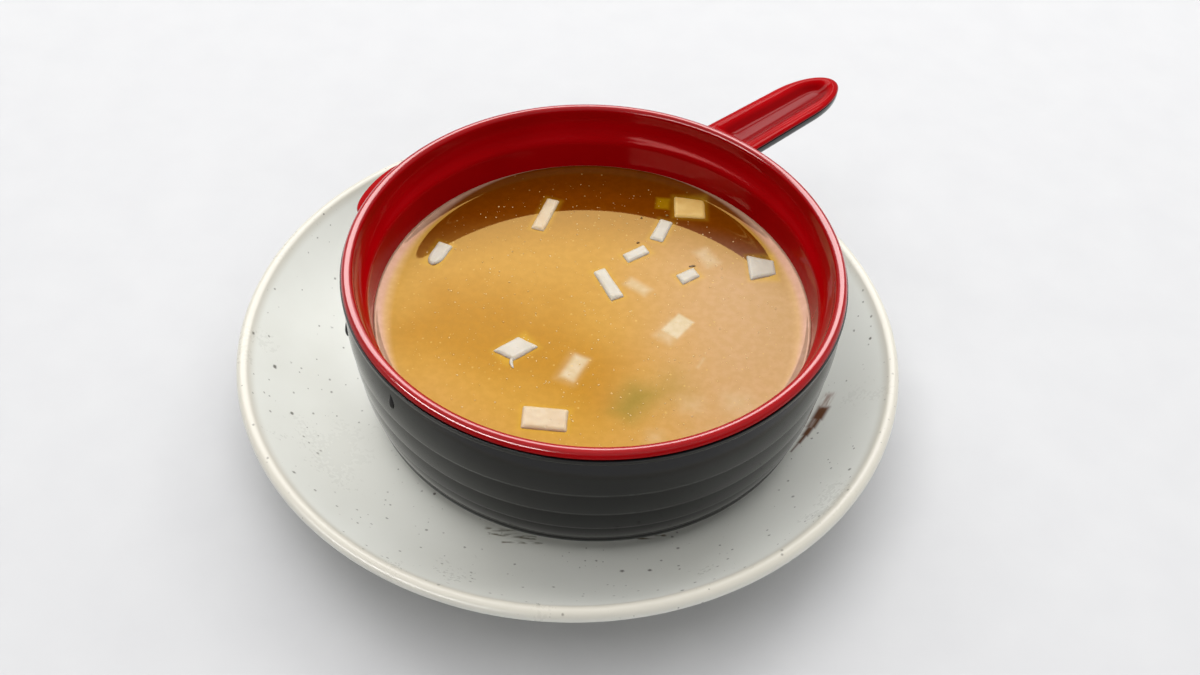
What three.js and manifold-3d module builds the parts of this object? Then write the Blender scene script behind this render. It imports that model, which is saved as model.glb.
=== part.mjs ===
// Miso soup with tofu in a two-tone handled bowl, standing on a coupe plate.
// Millimetres, +Z up, -Y is the diner's side. Heights on the bowl are depths below its rim.

import * as THREE from 'three';
import { mergeVertices } from 'three/addons/utils/BufferGeometryUtils.js';
import Module from 'manifold-3d';

const wasm = await Module();
wasm.setup();

// ---- Driving dimensions ------------------------------------------------------------------------

const gap = 0.3; // left between pieces that touch
const roundFacets = 48; // facets round a turned piece
const curveSteps = 3; // steps along a curved stretch of an outline
const tipSteps = 8; // steps round half of a tongue's tip

const plate = {
  radius: 96.6, // to the outside of the rounded edge
  height: 27.4,
  edgeRound: 2, // radius of the edge's section
  wellRadius: 60,
  wellTop: 7,
  flankRadius: 77, // where the well's floor, carried on flat, would meet the flank's line
  underFlank: { radius: 81, height: 3.4 }, // the same corner on the underside
  footRadius: 57,
  footWidth: 6,
  footHeight: 2.6,
  footTaper: 1, // the foot's sides lean in by this much
};

const bowl = {
  radius: 70, // outside of the lip
  height: 50.5, // foot to lip
  offsetX: 6.3, // the bowl stands a little off the plate's centre
  lipRound: 1.6, // radius of the lip's section
  lipDrop: 2, // depth of the red face outside the lip
  linerWall: 1.6,
  linerFlare: 0.3, // the liner's back stands this much further out at its lip and belly
  floorDepth: 44,
  floorWall: 2.3,
};

// The wet side of the liner, from the lip down: a near-upright wall, a gentle slope and a steeper
// shoulder end at these bends. Below them the wall runs to the belly, where it turns in to the floor.
const innerBends = [
  { depth: 4.6, radius: 66.6 },
  { depth: 8.2, radius: 65.4 },
  { depth: 10.8, radius: 63.6 },
];
const belly = { depth: 22, radius: 62.7 };

// Handles of the curve between floor and belly: the flat one as a share of the belly's radius, the
// steep one as how far it stands in from the wall and up from the floor.
const wetTurn = { flat: 0.7, inward: 1.6, rise: 4 };
const backTurn = { flat: 0.72, inward: 0.4, rise: 4.4 };

// The shell's outside: a bead under the lip, then bands that swell slightly between grooves.
const bead = { radius: 70.4, depth: 3.8 };
const outerBands = [
  { top: 4.7, topRadius: 69.2, bottom: 17.1, bottomRadius: 69.9, swell: 0.7 },
  { top: 17.7, topRadius: 69.3, bottom: 26.4, bottomRadius: 68.9, swell: 0.45 },
  { top: 27, topRadius: 68.4, bottom: 33.8, bottomRadius: 68.1, swell: 0.4 },
  { top: 34.5, topRadius: 67.4, bottom: 43.2, bottomRadius: 65.3, swell: 0.7 },
];
const foot = {
  radius: 47.6,
  width: 4.2,
  height: 2.6,
  recess: 1.5,
  chamfer: 0.5,
  innerTaper: 0.8,
  flare: 1, // the foot widens by this much where it meets the bowl
};
const underTurn = { inward: 2, rise: 0.8 }; // handle of the curve between foot and lowest band

// Grips are flat two-tone tongues that leave the lip: a long dished handle and a short plain ear.
const handle = {
  azimuth: 55.9, // degrees from +X, where its root meets the lip
  swing: -5.2, // degrees its length turns away from the true radius
  droop: 8, // degrees down towards the tip
  topDepth: 0.9,
  length: 61.5,
  rootWidth: 17.9,
  tipWidth: 17.2,
  tipLength: 24.5,
  dishDepth: 2.1,
  ridge: 1.5, // flat edge left round the dish
};
const ear = {
  azimuth: 158,
  swing: 0,
  droop: 20,
  topDepth: 1.3,
  length: 5.6,
  rootWidth: 25,
  tipWidth: 25,
  tipLength: 5.6,
  dishDepth: 0,
  ridge: 0,
};
const gripRootRadius = 68.2; // the tongues start inside the lip
const redSkin = 1.2; // red thickness at a grip's edge
const blackBody = 3.4; // black thickness under it
const dishSide = 4; // width of the dish's rounded side
const dishFloor = 1.2; // red thickness under the dish
const dishStart = 3.4; // from the root's end to the dish's rim
const underRound = 1.6; // rounding of the black underside

const soup = { depth: 21.6 }; // its surface lies this far below the rim

// Tofu cut by hand. turn is the long side's direction in degrees, lean skews the short sides
// and taper narrows the far end. thick is the height of the piece, most of it under the soup.
const tofuRise = 0.5;
const tofuRound = 0.9; // rounding of the cut edges
const tofuPieces = [
  { x: -16.6, y: 39.9, turn: 74, length: 14.9, width: 4.1, lean: 0, taper: 0.06, thick: 6 },
  { x: -47.4, y: 19.5, turn: 71, length: 9.8, width: 4.7, lean: -4, taper: -0.05, thick: 5.4 },
  { x: 28.4, y: 46.5, turn: -4, length: 9.7, width: 9, lean: 5, taper: 0.06, thick: 7 },
  { x: 19.6, y: 35.3, turn: 71, length: 9.8, width: 4.2, lean: 0, taper: 0.04, thick: 5.6 },
  { x: 12, y: 24.2, turn: 37.5, length: 8.1, width: 3.9, lean: -8, taper: 0, thick: 5.2 },
  { x: 27.7, y: 15.8, turn: 36, length: 6.5, width: 4.2, lean: -8, taper: 0.05, thick: 5 },
  { x: 4, y: 10.5, turn: 117, length: 13, width: 4.1, lean: 4, taper: 0.06, thick: 6.2 },
  { x: 49.9, y: 21, turn: 4, length: 8.2, width: 8.3, lean: 0, taper: 0.3, thick: 6.4 },
  { x: -21, y: -17.3, turn: 40, length: 8.8, width: 6.6, lean: 23, taper: 0, thick: 6 },
  { x: -11.2, y: -42.1, turn: -2.5, length: 12.3, width: 7.6, lean: 2, taper: 0, thick: 7.4 },
];

// ---- Helpers: closed meshes in and out of the solid library, turned and extruded pieces ---------

function toSolid(geometry) {
  const bare = new THREE.BufferGeometry();
  bare.setAttribute('position', geometry.getAttribute('position'));
  bare.setIndex(geometry.index);
  const merged = mergeVertices(bare, 1e-4);
  const corners = merged.index.array;
  const triangles = [];
  for (let i = 0; i < corners.length; i += 3) {
    const [a, b, c] = corners.slice(i, i + 3);
    const hasArea = a !== b && b !== c && c !== a;
    if (hasArea) triangles.push(a, b, c);
  }
  const vertProperties = new Float32Array(merged.attributes.position.array);
  return new wasm.Manifold(
    new wasm.Mesh({ numProp: 3, vertProperties, triVerts: new Uint32Array(triangles) }),
  );
}

function toMesh(name, solid, material) {
  const { vertProperties, triVerts } = solid.getMesh();
  const geometry = new THREE.BufferGeometry();
  geometry.setAttribute('position', new THREE.BufferAttribute(new Float32Array(vertProperties), 3));
  geometry.setIndex(Array.from(triVerts));
  geometry.computeVertexNormals();
  const mesh = new THREE.Mesh(geometry, material);
  mesh.name = name;
  return mesh;
}

// Turns a closed outline of (radius, height) points about the vertical axis.
function turned(points) {
  return toSolid(new THREE.LatheGeometry(points, roundFacets).rotateX(Math.PI / 2));
}

// A straight prism of the outline between two heights.
function prism(shape, low, high) {
  const geometry = new THREE.ExtrudeGeometry(shape, {
    depth: high - low,
    bevelEnabled: false,
    curveSegments: tipSteps,
  });
  return toSolid(geometry.translate(0, 0, low));
}

// A prism whose rims are rounded over: full size from height 0 up, smaller below it.
function cushionedPrism(shape, below, side, height) {
  const geometry = new THREE.ExtrudeGeometry(shape, {
    depth: height,
    bevelThickness: below,
    bevelSize: side,
    bevelSegments: curveSteps,
    curveSegments: tipSteps,
  });
  return toSolid(geometry);
}

// ---- Plate -------------------------------------------------------------------------------------

function plateOutline() {
  const edge = { radius: plate.radius - plate.edgeRound, height: plate.height - plate.edgeRound };
  const corner = plate.edgeRound * Math.SQRT1_2;
  const footInside = plate.footRadius - plate.footWidth;
  const taper = plate.footTaper;
  const outline = new THREE.Path();
  outline.moveTo(0, plate.footHeight);
  outline.lineTo(footInside, plate.footHeight);
  outline.lineTo(footInside + taper, 0);
  outline.lineTo(plate.footRadius - taper, 0);
  outline.lineTo(plate.footRadius + taper, plate.footHeight);
  outline.quadraticCurveTo(
    plate.underFlank.radius,
    plate.underFlank.height,
    edge.radius + corner,
    edge.height - corner,
  );
  outline.absarc(edge.radius, edge.height, plate.edgeRound, -Math.PI / 4, (3 * Math.PI) / 4);
  outline.quadraticCurveTo(plate.flankRadius, plate.wellTop, plate.wellRadius, plate.wellTop);
  outline.lineTo(0, plate.wellTop);
  return outline.getPoints(curveSteps + 1);
}

// ---- Bowl --------------------------------------------------------------------------------------

// The liner's wet side from the middle of its floor up to the lip. inset moves it into the bowl.
function wetSide(inset) {
  const side = new THREE.Path();
  const floor = inset - bowl.floorDepth;
  side.moveTo(0, floor);
  side.bezierCurveTo(
    belly.radius * wetTurn.flat,
    floor,
    belly.radius - inset - wetTurn.inward,
    floor + wetTurn.rise,
    belly.radius - inset,
    -belly.depth,
  );
  for (const bend of innerBends.toReversed()) {
    side.lineTo(bend.radius - inset, -bend.depth);
  }
  return side.getPoints(curveSteps * 2);
}

// The liner's back from the middle of its floor up to the lip's underside. clear moves it outwards.
function linerBack(clear) {
  const back = new THREE.Path();
  const floor = -bowl.floorDepth - bowl.floorWall - clear;
  const out = bowl.linerWall + clear;
  back.moveTo(0, floor);
  back.bezierCurveTo(
    belly.radius * backTurn.flat,
    floor,
    belly.radius + out - backTurn.inward,
    floor + backTurn.rise,
    belly.radius + out + bowl.linerFlare,
    -belly.depth,
  );
  for (const bend of innerBends.toReversed()) {
    back.lineTo(bend.radius + out, -bend.depth);
  }
  back.lineTo(innerBends[0].radius + out + bowl.linerFlare, -bowl.lipDrop - clear);
  return back.getPoints(curveSteps * 2);
}

function linerOutline() {
  const lipCentre = bowl.radius - bowl.lipRound;
  const lip = new THREE.Path();
  lip.moveTo(bowl.radius, -bowl.lipDrop);
  lip.absarc(lipCentre, -bowl.lipRound, bowl.lipRound, 0, Math.PI);
  return [...linerBack(0), ...lip.getPoints(curveSteps), ...wetSide(0).toReversed()];
}

function shellOutline() {
  const outside = new THREE.Path();
  const footBottom = -bowl.height;
  const footInside = foot.radius - foot.width;
  outside.moveTo(0, footBottom + foot.recess);
  outside.lineTo(footInside - foot.innerTaper, footBottom + foot.recess);
  outside.lineTo(footInside, footBottom);
  outside.lineTo(foot.radius - foot.chamfer, footBottom);
  outside.lineTo(foot.radius, footBottom + foot.chamfer);
  outside.lineTo(foot.radius + foot.flare, footBottom + foot.height);
  const lowest = outerBands.at(-1);
  outside.quadraticCurveTo(
    lowest.bottomRadius - underTurn.inward,
    footBottom + foot.height + underTurn.rise,
    lowest.bottomRadius,
    -lowest.bottom,
  );
  for (const band of outerBands.toReversed()) {
    outside.lineTo(band.bottomRadius, -band.bottom);
    outside.quadraticCurveTo(
      (band.bottomRadius + band.topRadius) / 2 + 2 * band.swell,
      -(band.top + band.bottom) / 2,
      band.topRadius,
      -band.top,
    );
  }
  outside.lineTo(bead.radius, -bead.depth);
  outside.lineTo(bead.radius, -bowl.lipDrop - gap);
  return [...outside.getPoints(curveSteps), ...linerBack(gap).toReversed()];
}

// ---- Grips -------------------------------------------------------------------------------------

// A tongue lying along +X with its root at x = start and a rounded tip.
function gripShape(grip, inset = 0, start = 0) {
  const tipHalf = grip.tipWidth / 2 - inset;
  const rootHalf = grip.rootWidth / 2 - inset;
  const straight = grip.length - grip.tipLength;
  const shape = new THREE.Shape();
  shape.moveTo(start, -rootHalf);
  if (straight > start) shape.lineTo(straight, -tipHalf);
  shape.absellipse(straight, 0, grip.tipLength - inset, tipHalf, -Math.PI / 2, Math.PI / 2);
  if (straight > start) shape.lineTo(start, rootHalf);
  return shape;
}

// Takes a tongue from its own frame to its place on the lip.
function placeGrip(solid, grip) {
  const azimuth = THREE.MathUtils.degToRad(grip.azimuth);
  return solid
    .rotate([0, grip.droop, 0])
    .rotate([0, 0, grip.azimuth + grip.swing])
    .translate([
      gripRootRadius * Math.cos(azimuth),
      gripRootRadius * Math.sin(azimuth),
      -grip.topDepth,
    ]);
}

// The red upper skin with its dish. grow makes the room that the black body leaves for it.
function gripTop(grip, grow = 0) {
  const headroom = grow > 0 ? blackBody : 0;
  const skin = prism(gripShape(grip, -grow), -redSkin - grow, headroom);
  if (grip.dishDepth === 0) return placeGrip(skin, grip);
  const trayDepth = grip.dishDepth + dishFloor + grow;
  const tray = prism(gripShape(grip, grip.ridge - grow, dishStart - grow), -trayDepth, -redSkin / 2);
  const top = skin.add(tray);
  if (grow > 0) return placeGrip(top, grip);
  const dishShape = gripShape(grip, grip.ridge + dishSide, dishStart + dishSide);
  const dish = cushionedPrism(dishShape, grip.dishDepth, dishSide, blackBody);
  return placeGrip(top.subtract(dish), grip);
}

function gripBody(grip) {
  const under = redSkin + blackBody - underRound;
  const rounded = cushionedPrism(gripShape(grip, underRound), underRound, underRound, under + blackBody);
  const body = rounded.translate([0, 0, -under]);
  const wider = gripShape(grip, -blackBody, -2 * blackBody);
  const above = prism(wider, -redSkin - gap, 3 * blackBody);
  return placeGrip(body.subtract(above), grip);
}

function linerSolid() {
  const grips = [handle, ear].map((grip) => gripTop(grip));
  return grips.reduce((solid, grip) => solid.add(grip), turned(linerOutline()));
}

function shellSolid() {
  let solid = turned(shellOutline());
  // A core as wide as the liner's back keeps the tongues out of the bowl.
  const coreTop = [new THREE.Vector2(bead.radius - redSkin, 0), new THREE.Vector2(0, 0)];
  const core = turned([...linerBack(gap), ...coreTop]);
  for (const grip of [handle, ear]) {
    solid = solid.add(gripBody(grip).subtract(core)).subtract(gripTop(grip, gap));
  }
  return solid;
}

// ---- Tofu and soup -----------------------------------------------------------------------------

// A hand-cut block standing in the soup; grow widens it to make the room that the soup leaves.
function tofuSolid(piece, grow = 0) {
  const alongHalf = piece.length / 2 - tofuRound;
  const acrossHalf = piece.width / 2 - tofuRound;
  const skew = Math.tan(THREE.MathUtils.degToRad(piece.lean));
  const corner = (along, across) => {
    const half = acrossHalf * (1 - along * piece.taper);
    return new THREE.Vector2(along * alongHalf - across * half * skew, across * half);
  };
  const face = new THREE.Shape([corner(-1, -1), corner(1, -1), corner(1, 1), corner(-1, 1)]);
  const block = new THREE.ExtrudeGeometry(face, {
    depth: piece.thick - 2 * tofuRound,
    bevelThickness: tofuRound + grow,
    bevelSize: tofuRound + grow,
    bevelSegments: 2,
  });
  block.translate(0, 0, tofuRound + tofuRise - piece.thick);
  block.rotateZ(THREE.MathUtils.degToRad(piece.turn));
  block.translate(piece.x, piece.y, -soup.depth);
  return toSolid(block);
}

function soupSolid() {
  const wet = wetSide(gap);
  const below = wet.filter((point) => point.y < -soup.depth);
  const [low, high] = [below.at(-1), wet[below.length]];
  const rise = (-soup.depth - low.y) / (high.y - low.y);
  const shore = new THREE.Vector2().lerpVectors(low, high, rise);
  const surface = [shore, new THREE.Vector2(0, -soup.depth)];
  return tofuPieces.reduce(
    (solid, piece) => solid.subtract(tofuSolid(piece, gap)),
    turned([...below, ...surface]),
  );
}

// ---- The serving -------------------------------------------------------------------------------

const finish = (color, roughness) => new THREE.MeshStandardMaterial({ color, roughness, metalness: 0 });
const glaze = finish(0xdadcd4, 0.35);
const blackMelamine = finish(0x1b1c1e, 0.25);
const redMelamine = finish(0xb30d1b, 0.22);
const broth = finish(0xc48a35, 0.15);
const beanCurd = finish(0xf5eedb, 0.45);

const filledBowl = new THREE.Group();
filledBowl.add(
  toMesh('bowl_shell', shellSolid(), blackMelamine),
  toMesh('bowl_liner', linerSolid(), redMelamine),
  toMesh('soup', soupSolid(), broth),
);
tofuPieces.forEach((piece, index) => {
  const name = `tofu_${String(index + 1).padStart(2, '0')}`;
  filledBowl.add(toMesh(name, tofuSolid(piece), beanCurd));
});
filledBowl.position.set(bowl.offsetX, 0, plate.wellTop + gap + bowl.height);

const serving = new THREE.Group();
serving.add(toMesh('plate', turned(plateOutline()), glaze), filledBowl);

// The origin is the middle of the whole serving's footprint, on the table.
const box = new THREE.Box3().setFromObject(serving);
const middle = box.getCenter(new THREE.Vector3());
serving.position.set(-middle.x, -middle.y, -box.min.z);

export default serving;
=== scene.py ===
# %% [markdown]
# # Miso soup with tofu in a two-tone bowl on a coupe plate
#
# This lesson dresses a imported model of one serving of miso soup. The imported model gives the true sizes
# and places; here every surface gets its fine form and its finish. We work in metres, with +Z up and
# -Y towards the diner. Each step first says what the real thing is, how it could be made in Blender,
# and why one way was chosen.

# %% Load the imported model
import math

import bmesh
import bpy
from mathutils import Matrix, Vector, noise
from mathutils.geometry import box_fit_2d


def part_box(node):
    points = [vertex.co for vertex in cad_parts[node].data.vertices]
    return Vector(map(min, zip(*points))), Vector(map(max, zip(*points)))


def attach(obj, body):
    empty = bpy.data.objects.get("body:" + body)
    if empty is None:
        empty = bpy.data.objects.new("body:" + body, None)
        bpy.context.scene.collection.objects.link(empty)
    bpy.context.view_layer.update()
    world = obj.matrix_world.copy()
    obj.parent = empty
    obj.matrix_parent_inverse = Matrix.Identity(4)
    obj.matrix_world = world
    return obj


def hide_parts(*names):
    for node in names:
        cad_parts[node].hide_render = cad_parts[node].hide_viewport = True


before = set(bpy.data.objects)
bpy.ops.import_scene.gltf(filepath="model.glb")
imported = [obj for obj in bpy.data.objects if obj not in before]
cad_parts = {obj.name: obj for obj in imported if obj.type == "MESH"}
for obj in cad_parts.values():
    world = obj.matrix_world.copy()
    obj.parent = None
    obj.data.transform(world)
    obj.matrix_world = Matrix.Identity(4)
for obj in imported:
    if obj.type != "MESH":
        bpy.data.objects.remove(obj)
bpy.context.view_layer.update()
print("nodes:", ", ".join(sorted(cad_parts)))

# %% [markdown]
# ## Sizes that the rest is worked out from
#
# A turned bowl is easiest to describe from its own axis, as radii and as depths below its rim. We read
# the axis from the soup's box, because the soup is round and centred, and the rim from the red liner.
# The same is done for the plate. Every piece starts from these values.

# %% Axes and levels
MM = 0.001

soup_low, soup_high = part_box("soup")
plate_low, plate_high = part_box("plate")
RIM_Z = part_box("bowl_liner")[1].z
BOWL = Vector(((soup_low.x + soup_high.x) / 2, (soup_low.y + soup_high.y) / 2, RIM_Z))
PLATE = Vector(((plate_low.x + plate_high.x) / 2, (plate_low.y + plate_high.y) / 2, 0))
SOUP_DEPTH = (RIM_Z - soup_high.z) / MM
BOWL_HEIGHT = (RIM_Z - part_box("bowl_shell")[0].z) / MM
PLATE_RADIUS = (plate_high.x - plate_low.x) / 2 / MM
PLATE_HEIGHT = plate_high.z / MM
print(f"soup {SOUP_DEPTH:.1f} mm below the rim, bowl {BOWL_HEIGHT:.1f} mm high")
print(f"plate {2 * PLATE_RADIUS:.0f} mm across and {PLATE_HEIGHT:.1f} mm high")

# %% [markdown]
# ## Outlines
#
# Melamine and stoneware are moulded or thrown, so their corners are never sharp. An outline here is a
# short list of corners, each with its own rounding, and of curves between them. Rounding the outline
# before it is turned is cheaper and cleaner than a Bevel modifier on the finished bowl.

# %% Outline helpers, in millimetres as (radius, height) points
CORNER_STEPS = 6
CURVE_STEPS = 18


def bezier(points, steps=CURVE_STEPS):
    """A quadratic or cubic curve through its first and last point."""
    curve = []
    for step in range(steps + 1):
        level, t = [Vector(point) for point in points], step / steps
        while len(level) > 1:
            level = [a.lerp(b, t) for a, b in zip(level, level[1:])]
        curve.append(level[0])
    return curve


def arc(centre, radius, start, end):
    """Part of a circle, between two angles in degrees."""
    angles = [math.radians(start + (end - start) * step / CURVE_STEPS) for step in range(CURVE_STEPS + 1)]
    return [Vector((centre[0] + radius * math.cos(a), centre[1] + radius * math.sin(a))) for a in angles]


def rounded(corners):
    """Rounds each corner that is given as (radius, height, rounding) and keeps (radius, height) sharp."""
    points = [Vector(corner[:2]) for corner in corners]
    outline = [points[0]]
    for index in range(1, len(points) - 1):
        before, here, after = points[index - 1 : index + 2]
        reach = corners[index][2] if len(corners[index]) > 2 else 0
        reach = min(reach, (before - here).length * 0.48, (after - here).length * 0.48)
        if reach <= 0:
            outline.append(here)
            continue
        start = here + (before - here).normalized() * reach
        end = here + (after - here).normalized() * reach
        outline += bezier([start, here, end], CORNER_STEPS)
    return outline + [points[-1]]


# %% [markdown]
# ## Node trees
#
# Geometry Nodes and materials are both trees of nodes. A few helpers keep them short: one adds any node
# and links or sets its inputs, and the others add the nodes that come back again and again.

# %% Node helpers
def add_node(tree, kind, inputs=None, **settings):
    """Adds a node. Inputs are values, or sockets to link from, by socket name or number."""
    node = tree.nodes.new(kind)
    for name, value in settings.items():
        setattr(node, name, value)
    for key, value in (inputs or {}).items():
        if isinstance(value, bpy.types.NodeSocket):
            tree.links.new(value, node.inputs[key])
        else:
            node.inputs[key].default_value = value
    return node


def math_node(tree, operation, *values):
    return add_node(tree, "ShaderNodeMath", dict(enumerate(values)), operation=operation).outputs[0]


def vector_node(tree, operation, *values):
    node = add_node(tree, "ShaderNodeVectorMath", dict(enumerate(values)), operation=operation)
    return node.outputs["Value" if operation == "LENGTH" else "Vector"]


def parts_of(tree, vector):
    """The X, Y and Z sockets of a vector."""
    return add_node(tree, "ShaderNodeSeparateXYZ", {0: vector}).outputs


def map_range(tree, value, low, high, to_low=0.0, to_high=1.0, easing="SMOOTHSTEP"):
    inputs = {0: value, 1: low, 2: high, 3: to_low, 4: to_high}
    return add_node(tree, "ShaderNodeMapRange", inputs, interpolation_type=easing).outputs[0]


def noise_value(tree, place, scale, detail=2.0):
    inputs = {"Vector": place, "Scale": scale, "Detail": detail}
    return add_node(tree, "ShaderNodeTexNoise", inputs).outputs[0]


def socket_of(sockets, label, kind):
    """The socket of one type, on a node that has the same label for several types."""
    return next(socket for socket in sockets if socket.name == label and socket.type == kind)


def new_tree(name, kind, inputs, outputs):
    """A node tree with named sockets, each given as label: (socket type, default)."""
    tree = bpy.data.node_groups.new(name, kind)
    for direction, sockets in (("INPUT", inputs), ("OUTPUT", outputs)):
        for label, (socket_type, default) in sockets.items():
            kind_of_socket = f"NodeSocket{socket_type}"
            socket = tree.interface.new_socket(label, in_out=direction, socket_type=kind_of_socket)
            if default is not None:
                socket.default_value = default
    start = tree.nodes.new("NodeGroupInput")
    end = tree.nodes.new("NodeGroupOutput")
    return tree, start.outputs, end.inputs


def end_geometry(tree, geometry, finish, result):
    """Ends a geometry tree with instances made real and a material set."""
    real = add_node(tree, "GeometryNodeRealizeInstances", {"Geometry": geometry})
    dressed = add_node(tree, "GeometryNodeSetMaterial", {"Geometry": real.outputs[0], "Material": finish})
    tree.links.new(dressed.outputs[0], result)


# %% [markdown]
# ## A tree that turns an outline
#
# Plate, bowl and soup are all surfaces of revolution. Blender has a Screw modifier and a Spin tool for
# this. We use Geometry Nodes instead, so that the rule is visible: a flat grid has one row for each
# outline point and one column for each facet, and every grid point is sent to its place on the circle.
# The rows that lie on the axis fall together there and are merged.

# %% The turning tree
FACETS = 192
MERGE_DISTANCE = 1e-6


def make_turning_tree():
    tree, given, result = new_tree(
        "turn an outline",
        "GeometryNodeTree",
        {
            "Outline": ("Geometry", None),
            "Facets": ("Int", FACETS),
            "Axis": ("Vector", None),
            "Finish": ("Material", None),
        },
        {"Turned": ("Geometry", None)},
    )
    size = add_node(tree, "GeometryNodeAttributeDomainSize", {"Geometry": given["Outline"]})
    count = size.outputs["Point Count"]
    spans = math_node(tree, "SUBTRACT", count, 1)
    columns = math_node(tree, "ADD", given["Facets"], 1)
    grid = add_node(
        tree,
        "GeometryNodeMeshGrid",
        {"Size X": given["Facets"], "Size Y": spans, "Vertices X": columns, "Vertices Y": count},
    )
    place = add_node(tree, "GeometryNodeInputPosition").outputs[0]
    x, y, _ = parts_of(tree, place)
    row = math_node(tree, "ROUND", math_node(tree, "ADD", y, math_node(tree, "DIVIDE", spans, 2)))
    column = math_node(tree, "ADD", x, math_node(tree, "DIVIDE", given["Facets"], 2))
    turn = math_node(tree, "DIVIDE", math_node(tree, "MULTIPLY", column, 2 * math.pi), given["Facets"])
    sample = add_node(
        tree,
        "GeometryNodeSampleIndex",
        {"Geometry": given["Outline"], "Index": row},
        data_type="FLOAT_VECTOR",
    )
    tree.links.new(place, socket_of(sample.inputs, "Value", "VECTOR"))
    radius, _, height = parts_of(tree, socket_of(sample.outputs, "Value", "VECTOR"))
    east = math_node(tree, "MULTIPLY", radius, math_node(tree, "COSINE", turn))
    north = math_node(tree, "MULTIPLY", radius, math_node(tree, "SINE", turn))
    around = add_node(tree, "ShaderNodeCombineXYZ", {0: east, 1: north, 2: height})
    moved = vector_node(tree, "ADD", around.outputs[0], given["Axis"])
    steps = [
        ("GeometryNodeSetPosition", {"Position": moved}),
        ("GeometryNodeMergeByDistance", {"Distance": MERGE_DISTANCE}),
        ("GeometryNodeSetShadeSmooth", {}),
    ]
    geometry = grid.outputs["Mesh"]
    for kind, inputs in steps:
        geometry = add_node(tree, kind, {"Geometry": geometry, **inputs}).outputs[0]
    end_geometry(tree, geometry, given["Finish"], result["Turned"])
    return tree


turning_tree = make_turning_tree()
print("turning tree:", len(turning_tree.nodes), "nodes")


# %% Making pieces
def link_object(name, mesh):
    piece = bpy.data.objects.new(name, mesh)
    bpy.context.scene.collection.objects.link(piece)
    return piece


def piece_from(name, shape, finish):
    """Turns a bmesh into a smooth piece of one material."""
    mesh = bpy.data.meshes.new(name)
    shape.to_mesh(mesh)
    shape.free()
    mesh.materials.append(finish)
    mesh.shade_smooth()
    return link_object(name, mesh)


def freeze(piece):
    """Applies every modifier: the evaluated mesh replaces the object's own."""
    graph = bpy.context.evaluated_depsgraph_get()
    mesh = bpy.data.meshes.new_from_object(piece.evaluated_get(graph))
    piece.modifiers.clear()
    piece.data = mesh
    mesh.name = piece.name
    return piece


def add_tree(piece, tree, **values):
    """Adds a Geometry Nodes modifier and sets its inputs by the sockets' identifiers."""
    modifier = piece.modifiers.new(tree.name, "NODES")
    modifier.node_group = tree
    for item in tree.interface.items_tree:
        if item.in_out == "INPUT" and item.name in values:
            modifier[item.identifier] = values[item.name]


def face_outwards(piece):
    """Merges doubles and turns every face of a closed mesh outwards."""
    shape = bmesh.new()
    shape.from_mesh(piece.data)
    bmesh.ops.remove_doubles(shape, verts=shape.verts, dist=MERGE_DISTANCE)
    bmesh.ops.recalc_face_normals(shape, faces=shape.faces)
    if shape.calc_volume(signed=True) < 0:
        bmesh.ops.reverse_faces(shape, faces=shape.faces)
    shape.to_mesh(piece.data)
    shape.free()
    return piece


def turned(name, outline, axis, finish, facets=FACETS):
    """A closed turned piece from an outline in millimetres that starts and ends on the axis."""
    section = bpy.data.meshes.new(name)
    points = [(point[0] * MM, 0, point[1] * MM) for point in outline]
    section.from_pydata(points, [(i, i + 1) for i in range(len(points) - 1)], [])
    piece = link_object(name, section)
    add_tree(piece, turning_tree, Facets=facets, Axis=axis, Finish=finish)
    face_outwards(freeze(piece))
    print(name, "faces:", len(piece.data.polygons))
    return piece


# %% [markdown]
# ## Finishes that several materials share
#
# Real glaze, melamine and broth all vary a little: gloss is uneven, and specks of many sizes lie in
# them. Each such effect is one shader node group with named inputs, built once and placed in each
# material with its own values. The patterns read Object coordinates, in metres, so a scale of 1000
# gives features of about a millimetre.

# %% Group: specks of random size
def make_speck_group():
    tree, given, result = new_tree(
        "specks",
        "ShaderNodeTree",
        {
            "Vector": ("Vector", None),
            "Scale": ("Float", 300.0),
            "Size": ("Float", 0.2),
            "Share": ("Float", 0.5),
        },
        {"Mask": ("Float", None)},
    )
    cells = add_node(
        tree, "ShaderNodeTexVoronoi", {"Vector": given["Vector"], "Scale": given["Scale"]}, feature="F1"
    )
    chance, luck, _ = add_node(tree, "ShaderNodeSeparateColor", {0: cells.outputs["Color"]}).outputs
    wobble = noise_value(tree, given["Vector"], math_node(tree, "MULTIPLY", given["Scale"], 4))
    radius = math_node(tree, "MULTIPLY", given["Size"], math_node(tree, "POWER", luck, 1.5))
    ragged = math_node(tree, "MULTIPLY", radius, math_node(tree, "ADD", wobble, 0.5))
    outer, inner = (math_node(tree, "MULTIPLY", ragged, share) for share in (1.25, 0.6))
    inside = map_range(tree, cells.outputs["Distance"], outer, inner, easing="LINEAR")
    present = math_node(tree, "LESS_THAN", chance, given["Share"])
    tree.links.new(math_node(tree, "MULTIPLY", inside, present), result["Mask"])
    return tree


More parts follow.
